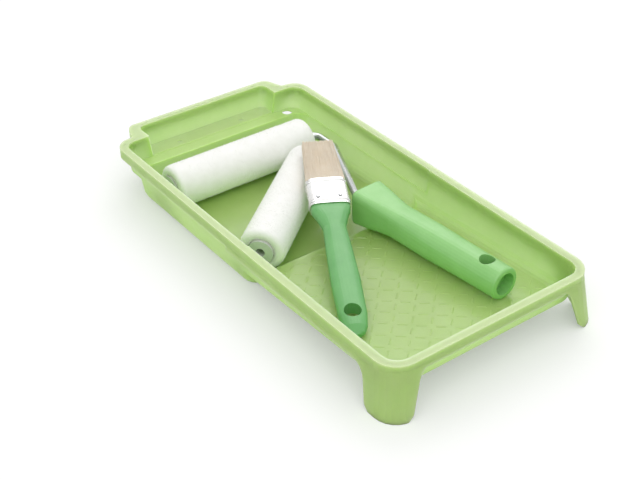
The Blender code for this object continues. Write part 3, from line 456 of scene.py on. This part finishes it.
@dataclass(frozen=True)
class BandFinish(StrandFinish):
    """Drawn band with painted shade along the feet of its beads, whose places are measured along the brush.
    """

    axis_start: tuple[float, float, float] = (0.0, 0.0, 0.0)
    axis_turn: tuple[float, float, float] = (0.0, 0.0, 0.0)
    beads: tuple[float, ...] = ()
    bead_reach: float = 0.8 * MM
    # painted shade: dark colour of the lines along the bead feet, standing in for shade in the creases
    bead_foot_shade: Colour = (0.0, 0.0, 0.0)
    bead_foot_shade_share: float = 0.7
    bead_foot_shade_width: float = 0.5 * MM

    def toned(self, canvas: Canvas, colour: bpy.types.NodeSocket) -> bpy.types.NodeSocket:
        """Darken the streaked colour along both feet of each bead: painted shade in the creases.

        Args:
            canvas: Canvas of the material.
            colour: The streaked colour.

        Returns:
            The colour with its lines of painted shade.
        """
        places = canvas.add("ShaderNodeTexCoord")
        axis = canvas.add("ShaderNodeMapping", {"Location": self.axis_start, "Rotation": self.axis_turn},
                          vector_type="TEXTURE")
        canvas.join(places.outputs["Object"], axis.inputs["Vector"])
        split = canvas.add("ShaderNodeSeparateXYZ")
        canvas.join(axis.outputs["Vector"], split.inputs[0])
        # painted shade: a dark line on each side of every bead
        for bead in self.beads:
            away = canvas.math("ABSOLUTE", canvas.math("SUBTRACT", split.outputs["X"], bead), 0.0)
            foot = canvas.math("ABSOLUTE", canvas.math("SUBTRACT", away, self.bead_reach), 0.0)
            fade = canvas.add("ShaderNodeMapRange", {
                "From Max": self.bead_foot_shade_width, "To Min": self.bead_foot_shade_share, "To Max": 0.0})
            canvas.join(foot, fade.inputs["Value"])
            colour = canvas.blend(fade.outputs["Result"], colour, self.bead_foot_shade)
        return colour


@dataclass(frozen=True)
class PileFinish(Finish):
    """Soft woven pile with a light sheen."""

    sheen: float = 0.5
    tuft_scale: float = 1400.0
    tuft_depth: float = 0.2 * MM

    def material(self, effects: Effects) -> bpy.types.Material:
        """Build the material.

        Args:
            effects: The shared groups.

        Returns:
            The finished material.
        """
        canvas, shader, where = self.start()
        canvas.join(self.clouded(canvas, effects, where), shader.inputs["Base Color"])
        self.scuffed(canvas, effects, shader, where)
        tufts = canvas.add("ShaderNodeGroup", node_tree=effects.relief)
        tufts.inputs["Scale"].default_value = self.tuft_scale
        canvas.join(where, tufts.inputs["Vector"])
        self.bumped(canvas, shader, tufts.outputs["Height"], self.tuft_depth)
        shader.inputs["Sheen Weight"].default_value = self.sheen
        return bpy.data.materials[self.name]


class Grower:
    """Geometry Nodes tree whose named inputs are set on one modifier."""

    def __init__(self, name: str) -> None:
        """Start a tree with a geometry input and output."""
        self.tree = bpy.data.node_groups.new(name, "GeometryNodeTree")
        self.canvas = Canvas(self.tree)
        self.values: dict[str, object] = {}
        self.tree.interface.new_socket(name="Base", in_out="INPUT", socket_type="NodeSocketGeometry")
        self.tree.interface.new_socket(name="Result", in_out="OUTPUT", socket_type="NodeSocketGeometry")
        self.source = self.canvas.add("NodeGroupInput")
        self.target = self.canvas.add("NodeGroupOutput")

    def give(self, name: str, kind: str, value: object) -> bpy.types.NodeSocket:
        """Add a named input.

        Args:
            name: Name of the input.
            kind: End of the socket's type name, such as Float.
            value: Value that the modifier sets.

        Returns:
            The input's socket inside the tree.
        """
        socket = self.tree.interface.new_socket(name=name, in_out="INPUT", socket_type="NodeSocket" + kind)
        self.values[socket.identifier] = value
        return self.source.outputs[name]

    def close(self, grown: bpy.types.NodeSocket, material: bpy.types.Material) -> None:
        """End the tree in Realize Instances, the base mesh beside them and Set Material.

        Args:
            grown: Geometry that has grown.
            material: Material of the result.
        """
        canvas = self.canvas
        realised = canvas.add("GeometryNodeRealizeInstances")
        canvas.join(grown, realised.inputs["Geometry"])
        joined = canvas.add("GeometryNodeJoinGeometry")
        canvas.join(self.source.outputs["Base"], joined.inputs[0])
        canvas.join(realised.outputs["Geometry"], joined.inputs[0])
        painted = canvas.add("GeometryNodeSetMaterial")
        canvas.join(joined.outputs[0], painted.inputs["Geometry"])
        canvas.join(self.give("Material", "Material", material), painted.inputs["Material"])
        canvas.join(painted.outputs["Geometry"], self.target.inputs["Result"])

    def grow(self, name: str, base: bpy.types.Mesh, place: Matrix) -> bpy.types.Object:
        """Run the tree and keep the result as a plain mesh at the origin.

        Args:
            name: Name of the finished piece.
            base: Mesh that the tree starts from.
            place: Place of the piece in the frame.

        Returns:
            The finished piece.
        """
        carrier = bpy.data.objects.new(name + "_base", base)
        bpy.context.scene.collection.objects.link(carrier)
        modifier = carrier.modifiers.new("grow", "NODES")
        modifier.node_group = self.tree
        for identifier, value in self.values.items():
            modifier[identifier] = value
        bpy.context.view_layer.update()
        grown = carrier.evaluated_get(bpy.context.evaluated_depsgraph_get())
        mesh = bpy.data.meshes.new_from_object(grown)
        mesh.name = name
        carrier.modifiers.remove(modifier)
        bpy.data.objects.remove(carrier, do_unlink=True)
        mesh.transform(place)
        piece = bpy.data.objects.new(name, mesh)
        bpy.context.scene.collection.objects.link(piece)
        return piece


def three_sided(canvas: Canvas, start: Vector, end: Vector,
                radius: bpy.types.NodeSocket) -> bpy.types.NodeSocket:
    """Add nodes for a closed three-sided rod.

    Args:
        canvas: Canvas of the tree.
        start: First end of the rod.
        end: Second end of the rod.
        radius: Socket of the rod's radius.

    Returns:
        The rod's geometry socket.
    """
    line = canvas.add("GeometryNodeCurvePrimitiveLine", {"Start": start, "End": end})
    circle = canvas.add("GeometryNodeCurvePrimitiveCircle", {"Resolution": 3})
    canvas.join(radius, circle.inputs["Radius"])
    rod = canvas.add("GeometryNodeCurveToMesh", {"Fill Caps": True})
    canvas.join(line.outputs["Curve"], rod.inputs["Curve"])
    canvas.join(circle.outputs["Curve"], rod.inputs["Profile Curve"])
    return rod.outputs["Mesh"]


@dataclass
class TrayDress:
    """The tray moulding, whose ramp ribs are part of its solid.

    The rim's painted highlight fades in between the two heights.
    """

    rim_highlight_from: float = 33.6 * MM
    rim_highlight_to: float = 34.9 * MM

    def build(self, looks: "Looks") -> list[bpy.types.Object]:
        """Dress the tray.

        Args:
            looks: Materials by finish name.

        Returns:
            No new pieces.
        """
        looks.paint("tray", "leaf_plastic_tray")
        return []


@dataclass
class SleeveDress:
    """Pile cover of a sleeve and the plain pieces inside it."""

    sleeve: Sleeve
    body: str
    heading: float
    radius: float = 15.0 * MM
    length: float = 109.0 * MM
    edge: float = 3.0 * MM
    bore: float = 8.4 * MM
    nap: float = 0.7 * MM
    end_nap_share: float = 0.4
    side_nap_share: float = 0.75
    fibre: float = 0.09 * MM
    lean: float = 0.5
    twist: float = 3.1
    density: float = 1.5e6
    seed: int = 4
    edge_steps: int = 6
    runs: int = 18
    around: int = 72

    def cover_base(self) -> bpy.types.Mesh:
        """Revolve the woven backing under the nap.

        Returns:
            The backing as a mesh about local X.
        """
        edit = bmesh.new()
        half = self.length / 2 - self.nap * self.end_nap_share
        skin = self.radius - self.nap * self.side_nap_share
        waist = skin - self.edge
        straight = 2 * half - 2 * self.edge
        arc = [math.pi / 2 * i / self.edge_steps for i in range(self.edge_steps + 1)]
        rounded = [(self.edge * (1 - math.cos(t)), waist + self.edge * math.sin(t)) for t in arc]
        profile = [(-half, self.bore)]
        profile += [(-half + inset, r) for inset, r in rounded]
        profile += [(-half + self.edge + straight * i / self.runs, skin) for i in range(1, self.runs)]
        profile += [(half - inset, r) for inset, r in reversed(rounded)]
        profile += [(half, self.bore)]
        rings = []
        for x, r in profile:
            turns = [2 * math.pi * i / self.around for i in range(self.around)]
            rings.append([edit.verts.new((x, r * math.cos(t), r * math.sin(t))) for t in turns])
        for first, second in zip(rings, rings[1:] + rings[:1]):
            for i in range(self.around):
                after = (i + 1) % self.around
                edit.faces.new((first[i], first[after], second[after], second[i]))
        bmesh.ops.recalc_face_normals(edit, faces=edit.faces)
        mesh = bpy.data.meshes.new(self.sleeve.value + "_backing")
        edit.to_mesh(mesh)
        edit.free()
        mesh.shade_smooth()
        return mesh

    def pile(self, material: bpy.types.Material) -> bpy.types.Object:
        """Grow the nap on the backing.

        Args:
            material: Finish of the pile.

        Returns:
            The cover as one piece.
        """
        grower = Grower(self.sleeve.value + "_nap")
        canvas = grower.canvas
        seed = grower.give("Seed", "Int", self.seed)
        points = canvas.add("GeometryNodeDistributePointsOnFaces", distribute_method="RANDOM")
        canvas.join(grower.source.outputs["Base"], points.inputs["Mesh"])
        canvas.join(grower.give("Fibres per Area", "Float", self.density), points.inputs["Density"])
        canvas.join(seed, points.inputs["Seed"])
        fibre = canvas.add("GeometryNodeMeshCone", {"Vertices": 3, "Radius Top": 0.0}, fill_type="NONE")
        canvas.join(grower.give("Fibre Radius", "Float", self.fibre), fibre.inputs["Radius Bottom"])
        canvas.join(grower.give("Nap", "Float", self.nap), fibre.inputs["Depth"])
        lean = canvas.add("FunctionNodeRandomValue", data_type="FLOAT_VECTOR")
        lean.inputs[0].default_value = (-self.lean, -self.lean, -self.twist)
        lean.inputs[1].default_value = (self.lean, self.lean, self.twist)
        canvas.join(seed, lean.inputs["Seed"])
        turned = canvas.add("FunctionNodeRotateRotation", rotation_space="LOCAL")
        canvas.join(points.outputs["Rotation"], turned.inputs["Rotation"])
        canvas.join(lean.outputs[0], turned.inputs["Rotate By"])
        spread = canvas.add("GeometryNodeInstanceOnPoints")
        canvas.join(points.outputs["Points"], spread.inputs["Points"])
        canvas.join(fibre.outputs["Mesh"], spread.inputs["Instance"])
        canvas.join(turned.outputs[0], spread.inputs["Rotation"])
        grower.close(spread.outputs["Instances"], material)
        middle = Matrix.Translation(centre_of(self.sleeve.value + "_core"))
        place = middle @ Matrix.Rotation(self.heading, 4, "Z")
        return grower.grow(self.sleeve.value + "_pile", self.cover_base(), place)

    def build(self, looks: "Looks") -> list[bpy.types.Object]:
        """Cover the sleeve and dress its inner pieces.

        Args:
            looks: Materials by finish name.

        Returns:
            The new pieces.
        """
        prefix = self.sleeve.value
        looks.paint(prefix + "_core", "natural_tube")
        for inner in ("_bush_near", "_bush_far", "_end_cap"):
            looks.paint(prefix + inner, "nylon_fitting")
        looks.paint(prefix + "_cover", "white_pile")
        cover = self.pile(looks["white_pile"])
        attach(cover, self.body)
        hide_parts(prefix + "_cover")
        return [cover]


@dataclass
class RollerDress:
    """Handle, rod and retainer of the roller, with the rates of the drawn rod's grain per metre."""

    grain_along: float = 60.0
    grain_across: float = 3600.0

    def build(self, looks: "Looks") -> list[bpy.types.Object]:
        """Dress the nodes of the roller's frame.

        Args:
            looks: Materials by finish name.

        Returns:
            No new pieces.
        """
        looks.paint("roller_handle", "grip_plastic_roller")
        looks.paint("roller_wire", "plated_rod")
        looks.paint("roller_retainer", "plated_rod")
        return []


@dataclass
class BrushDress:
    """Flat brush: combed filaments on its pack, and its rigid nodes."""

    butt: Vector = field(default_factory=BRUSH_BUTT.copy)
    heading: float = BRUSH_HEADING
    pitch: float = BRUSH_PITCH
    root: float = 133.0 * MM
    tip: float = 176.5 * MM
    root_width: float = 24.2 * MM
    root_thickness: float = 9.2 * MM
    tip_share_width: float = 0.8
    tip_share_thickness: float = 0.46
    columns: int = 84
    rows: int = 22
    filament: float = 0.13 * MM
    seed: int = 11
    stray_length: float = 2.2 * MM
    stray_aside: float = 0.55 * MM
    stray_above: float = 0.4 * MM
    core_short: float = 3.0 * MM
    core_width: float = 0.95
    core_thickness: float = 0.9
    core_swell: float = 0.05
    swell_rate: float = 1.6
    core_steps: int = 8
    core_around: int = 28
    corner_power: float = 0.5

    def place(self) -> Matrix:
        """Give the brush's frame, with local X from its butt to its tips."""
        turn = Matrix.Rotation(self.heading, 4, "Z") @ Matrix.Rotation(-self.pitch, 4, "Y")
        return Matrix.Translation(self.butt) @ turn

    def core(self) -> bpy.types.Mesh:
        """Loft the close-packed inside of the bristles.

        Returns:
            The pack as a mesh along local X.
        """
        edit = bmesh.new()
        rings = []
        for step in range(self.core_steps + 1):
            share = step / self.core_steps
            x = self.root + (self.tip - self.root - self.core_short) * share
            swell = 1 + self.core_swell * math.sin(math.pi * min(1.0, share * self.swell_rate))
            narrow = 1 + (self.tip_share_width - 1) * share
            flat = 1 + (self.tip_share_thickness - 1) * share
            half_width = self.root_width * swell * narrow * self.core_width / 2
            half_thickness = self.root_thickness * swell * flat * self.core_thickness / 2
            ring = []
            for i in range(self.core_around):
                turn = 2 * math.pi * i / self.core_around
                aside, above = math.cos(turn), math.sin(turn)
                y = math.copysign(abs(aside) ** self.corner_power, aside) * half_width
                z = math.copysign(abs(above) ** self.corner_power, above) * half_thickness
                ring.append(edit.verts.new((x, y, z)))
            rings.append(ring)
        for first, second in zip(rings, rings[1:]):
            for i in range(self.core_around):
                after = (i + 1) % self.core_around
                edit.faces.new((first[i], first[after], second[after], second[i]))
        edit.faces.new(list(reversed(rings[0])))
        edit.faces.new(rings[-1])
        bmesh.ops.recalc_face_normals(edit, faces=edit.faces)
        mesh = bpy.data.meshes.new("bristle_core")
        edit.to_mesh(mesh)
        edit.free()
        mesh.shade_smooth()
        return mesh

    def filaments(self, material: bpy.types.Material) -> bpy.types.Object:
        """Grow tapering rows of filaments from the ferrule to uneven tips.

        Args:
            material: Finish of the bristles.

        Returns:
            The bristles as one piece.
        """
        grower = Grower("brush_filaments")
        canvas = grower.canvas
        grid = canvas.add("GeometryNodeMeshGrid")
        canvas.join(grower.give("Pack Width", "Float", self.root_width), grid.inputs["Size X"])
        canvas.join(grower.give("Pack Thickness", "Float", self.root_thickness), grid.inputs["Size Y"])
        canvas.join(grower.give("Columns", "Int", self.columns), grid.inputs["Vertices X"])
        canvas.join(grower.give("Rows", "Int", self.rows), grid.inputs["Vertices Y"])
        seed = grower.give("Seed", "Int", self.seed)
        spot = canvas.add("GeometryNodeInputPosition")
        split = canvas.add("ShaderNodeSeparateXYZ")
        canvas.join(spot.outputs[0], split.inputs[0])
        stray = canvas.add("FunctionNodeRandomValue", data_type="FLOAT_VECTOR")
        stray.inputs[0].default_value = (-self.stray_length, -self.stray_aside, -self.stray_above)
        stray.inputs[1].default_value = (0.0, self.stray_aside, self.stray_above)
        canvas.join(seed, stray.inputs["Seed"])
        drift = canvas.add("ShaderNodeSeparateXYZ")
        canvas.join(stray.outputs[0], drift.inputs[0])
        reach = grower.give("Length", "Float", self.tip - self.root)
        narrow = grower.give("Tip Width Share", "Float", self.tip_share_width - 1)
        flat = grower.give("Tip Thickness Share", "Float", self.tip_share_thickness - 1)
        run = canvas.add("ShaderNodeCombineXYZ")
        canvas.join(canvas.math("ADD", reach, drift.outputs["X"]), run.inputs["X"])
        aside = canvas.math("MULTIPLY", split.outputs["X"], narrow)
        above = canvas.math("MULTIPLY", split.outputs["Y"], flat)
        canvas.join(canvas.math("ADD", aside, drift.outputs["Y"]), run.inputs["Y"])
        canvas.join(canvas.math("ADD", above, drift.outputs["Z"]), run.inputs["Z"])
        start = canvas.add("ShaderNodeCombineXYZ")
        canvas.join(split.outputs["X"], start.inputs["Y"])
        canvas.join(split.outputs["Y"], start.inputs["Z"])
        rod = three_sided(canvas, Vector((0, 0, 0)), Vector((0, 0, 1)),
                          grower.give("Filament Radius", "Float", self.filament))
        aim = canvas.add("FunctionNodeAlignRotationToVector", axis="Z")
        canvas.join(run.outputs[0], aim.inputs["Vector"])
        length = canvas.add("ShaderNodeVectorMath", operation="LENGTH")
        canvas.join(run.outputs[0], length.inputs[0])
        scale = canvas.add("ShaderNodeCombineXYZ", {"X": 1.0, "Y": 1.0})
        canvas.join(length.outputs["Value"], scale.inputs["Z"])
        spread = canvas.add("GeometryNodeInstanceOnPoints")
        canvas.join(rod, spread.inputs["Instance"])
        canvas.join(aim.outputs[0], spread.inputs["Rotation"])
        canvas.join(scale.outputs[0], spread.inputs["Scale"])
        moved = canvas.add("GeometryNodeTranslateInstances", {"Local Space": False})
        canvas.join(spread.outputs["Instances"], moved.inputs["Instances"])
        shift = canvas.add("ShaderNodeVectorMath", operation="SUBTRACT")
        away = canvas.add("ShaderNodeVectorMath", operation="ADD")
        canvas.join(start.outputs[0], away.inputs[0])
        away.inputs[1].default_value = (self.root, 0, 0)
        canvas.join(away.outputs[0], shift.inputs[0])
        canvas.join(spot.outputs[0], shift.inputs[1])
        stored = canvas.add("GeometryNodeCaptureAttribute", domain="POINT")
        stored.capture_items.new("VECTOR", "Shift")
        canvas.join(grid.outputs["Mesh"], stored.inputs["Geometry"])
        canvas.join(shift.outputs[0], stored.inputs["Shift"])
        canvas.join(stored.outputs["Geometry"], spread.inputs["Points"])
        canvas.join(stored.outputs["Shift"], moved.inputs["Translation"])
        grower.close(moved.outputs["Instances"], material)
        return grower.grow("brush_filaments", self.core(), self.place())

    def build(self, looks: "Looks") -> list[bpy.types.Object]:
        """Dress the brush.

        Args:
            looks: Materials by finish name.

        Returns:
            The new pieces.
        """
        looks.paint("brush_handle", "grip_plastic_brush")
        looks.paint("brush_ferrule", "tinned_ferrule")
        looks.paint("brush_filler", "raw_wedge")
        looks.paint("brush_resin", "cast_resin")
        looks.paint("brush_bristles", "combed_bristle")
        for face in ("upper", "lower"):
            for hand in ("right", "left"):
                looks.paint("brush_nail_" + face + "_" + hand, "plated_rod")
        bristles = self.filaments(looks["combed_bristle"])
        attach(bristles, "brush")
        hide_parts("brush_bristles")
        return [bristles]


class Looks:
    """Every finish of the set, as materials by name."""

    def __init__(self, finishes: list[Finish]) -> None:
        """Build the materials from their finishes."""
        effects = Effects()
        self.materials = {finish.name: finish.material(effects) for finish in finishes}

    def __getitem__(self, name: str) -> bpy.types.Material:
        """Give a material by its finish's name."""
        return self.materials[name]

    def paint(self, node: str, name: str) -> None:
        """Put a finish on a CAD node."""
        data = frame["nodes"][node].data
        data.materials.clear()
        data.materials.append(self.materials[name])


FINISHES = [
    # the tray's rim colour is a painted highlight along the top of the rim
    TrayFinish("leaf_plastic_tray", linear(174, 219, 115), linear(167, 213, 106), 0.34, 0.5, 40.0,
               relief_scale=700.0, coat=0.15, translucence=1.0, light_reach=0.014,
               rim_highlight_colour=linear(184, 212, 140), rim_highlight_from=TrayDress.rim_highlight_from, rim_highlight_to=TrayDress.rim_highlight_to),
    PlasticFinish("grip_plastic_roller", linear(146, 202, 124), linear(137, 195, 115), 0.3, 0.45, 50.0,
                  coat=0.2, translucence=0.1),
    PlasticFinish("grip_plastic_brush", linear(108, 174, 102), linear(99, 166, 95), 0.3, 0.45, 70.0,
                  coat=0.2, translucence=0.1),
    PlasticFinish("natural_tube", linear(226, 226, 220), linear(214, 214, 206), 0.45, 0.6, 120.0),
    PlasticFinish("nylon_fitting", linear(214, 218, 212), linear(200, 205, 199), 0.4, 0.55, 120.0),
    PlasticFinish("cast_resin", linear(150, 118, 78), linear(128, 98, 62), 0.25, 0.4, 200.0),
    PileFinish("white_pile", linear(250, 250, 247), linear(245, 245, 241), 0.85, 0.98, 160.0),
    StrandFinish("combed_bristle", linear(251, 242, 225), linear(240, 225, 201), 0.6, 0.8, 90.0,
                 turn=tuple(BRUSH_TURN), along=40.0, across=2600.0, sheen=0.2),
    StrandFinish("raw_wedge", linear(196, 160, 112), linear(160, 122, 78), 0.65, 0.8, 120.0,
                 turn=tuple(BRUSH_TURN), along=30.0, across=900.0),
    # the ferrule's dark bead-foot colour is painted shade in the creases
    BandFinish("tinned_ferrule", linear(243, 243, 241), linear(222, 222, 220), 0.2, 0.34, 80.0,
               turn=(0.0, -BRUSH_PITCH, BRUSH_HEADING + math.pi / 2), along=50.0, across=4200.0,
               metallic=1.0, relief_depth=0.000006, axis_start=tuple(BRUSH_BUTT),
               axis_turn=tuple(BRUSH_TURN), beads=FERRULE_BEADS, bead_foot_shade=linear(112, 112, 108)),
    StrandFinish("plated_rod", linear(222, 223, 224), linear(190, 192, 194), 0.16, 0.3, 110.0,
                 along=RollerDress.grain_along, across=RollerDress.grain_across, metallic=1.0,
                 relief_depth=0.000005),
]


@dataclass
class Studio:
    """Pale floor, soft lamps, surroundings and the camera."""

    camera_place: Vector = field(default_factory=lambda: Vector((-390.0, -508.1, 451.0)) * MM)
    camera_look: Vector = field(default_factory=lambda: Vector((0.4916, 0.6558, -0.5729)))
    lens: float = 68.9
    sensor: float = 36.0
    sky: float = 0.75
    key_place: Vector = field(default_factory=lambda: Vector((0.7, 0.75, 1.15)))
    key_size: float = 1.05
    key_power: float = 6.5
    fill_place: Vector = field(default_factory=lambda: Vector((-0.55, -0.65, 1.2)))
    fill_size: float = 1.6
    fill_power: float = 7.2
    floor_reach: float = 4.0
    floor_drop: float = 0.2 * MM
    floor_tone: float = 0.66
    floor_rough: float = 0.9
    floor_lift: float = 0.32

    @staticmethod
    def seen(canvas: Canvas) -> bpy.types.NodeSocket:
        """Give the share of rays that see the background: camera, mirror and glass rays.

        Args:
            canvas: Canvas of the material or world.

        Returns:
            Socket that is 1 for those rays.
        """
        path = canvas.add("ShaderNodeLightPath")
        pair = canvas.math("MAXIMUM", path.outputs["Is Camera Ray"], path.outputs["Is Glossy Ray"])
        return canvas.math("MAXIMUM", pair, path.outputs["Is Transmission Ray"])

    def surroundings(self) -> None:
        """Set an even sky that shows white behind the set."""
        world = bpy.data.worlds.new("studio_sky")
        world.use_nodes = True
        bpy.context.scene.world = world
        canvas = Canvas(world.node_tree)
        back = world.node_tree.nodes["Background"]
        back.inputs["Color"].default_value = (1, 1, 1, 1)
        strength = canvas.add("ShaderNodeMapRange", {"To Min": self.sky, "To Max": 1.0})
        canvas.join(self.seen(canvas), strength.inputs["Value"])
        canvas.join(strength.outputs["Result"], back.inputs["Strength"])

    def floor(self) -> None:
        """Lay the floor, which takes the shadow and shows near white."""
        edit = bmesh.new()
        bmesh.ops.create_grid(edit, x_segments=1, y_segments=1, size=self.floor_reach)
        bmesh.ops.translate(edit, verts=edit.verts, vec=(0, 0, -self.floor_drop))
        mesh = bpy.data.meshes.new("studio_floor")
        edit.to_mesh(mesh)
        edit.free()
        material = bpy.data.materials.new("studio_floor")
        material.use_nodes = True
        canvas = Canvas(material.node_tree)
        shader = material.node_tree.nodes["Principled BSDF"]
        shader.inputs["Base Color"].default_value = (self.floor_tone,) * 3 + (1,)
        shader.inputs["Roughness"].default_value = self.floor_rough
        shader.inputs["Specular IOR Level"].default_value = 0.0
        shader.inputs["Emission Color"].default_value = (1, 1, 1, 1)
        lift = canvas.math("MULTIPLY", self.seen(canvas), self.floor_lift)
        canvas.join(lift, shader.inputs["Emission Strength"])
        mesh.materials.append(material)
        floor = bpy.data.objects.new("studio_floor", mesh)
        bpy.context.scene.collection.objects.link(floor)

    def lamp(self, name: str, place: Vector, size: float, power: float) -> None:
        """Hang a soft square lamp that faces the set.

        Args:
            name: Name of the lamp.
            place: Place of the lamp in metres.
            size: Side of the lamp in metres.
            power: Power in watts.
        """
        data = bpy.data.lights.new(name, "AREA")
        data.size = size
        data.energy = power
        lamp = bpy.data.objects.new(name, data)
        lamp.location = place
        lamp.rotation_euler = (-place).to_track_quat("-Z", "Y").to_euler()
        bpy.context.scene.collection.objects.link(lamp)

    def camera(self) -> None:
        """Set the camera at the viewing angle."""
        data = bpy.data.cameras.new("studio_camera")
        data.lens = self.lens
        data.sensor_width = self.sensor
        data.clip_start = 10 * MM
        camera = bpy.data.objects.new("studio_camera", data)
        camera.location = self.camera_place
        camera.rotation_euler = self.camera_look.to_track_quat("-Z", "Y").to_euler()
        bpy.context.scene.collection.objects.link(camera)
        bpy.context.scene.camera = camera

    def build(self) -> None:
        """Build the studio."""
        self.surroundings()
        self.floor()
        self.lamp("key_lamp", self.key_place, self.key_size, self.key_power)
        self.lamp("fill_lamp", self.fill_place, self.fill_size, self.fill_power)
        self.camera()
        bpy.context.scene.view_settings.view_transform = "Standard"


def main() -> None:
    """Build the set's looks in order and log each piece."""
    logging.basicConfig(level=logging.INFO, format="%(name)s: %(message)s")
    Studio().build()
    looks = Looks(FINISHES)
    dresses = [
        TrayDress(),
        SleeveDress(Sleeve.ROLLER, "roller_sleeve", 0.0),
        SleeveDress(Sleeve.SPARE, "spare", SPARE_HEADING, seed=9),
        RollerDress(),
        BrushDress(),
    ]
    for dress in dresses:
        for piece in dress.build(looks):
            LOG.info("%s has %d faces", piece.name, len(piece.data.polygons))


if __name__ == "__main__":
    main()
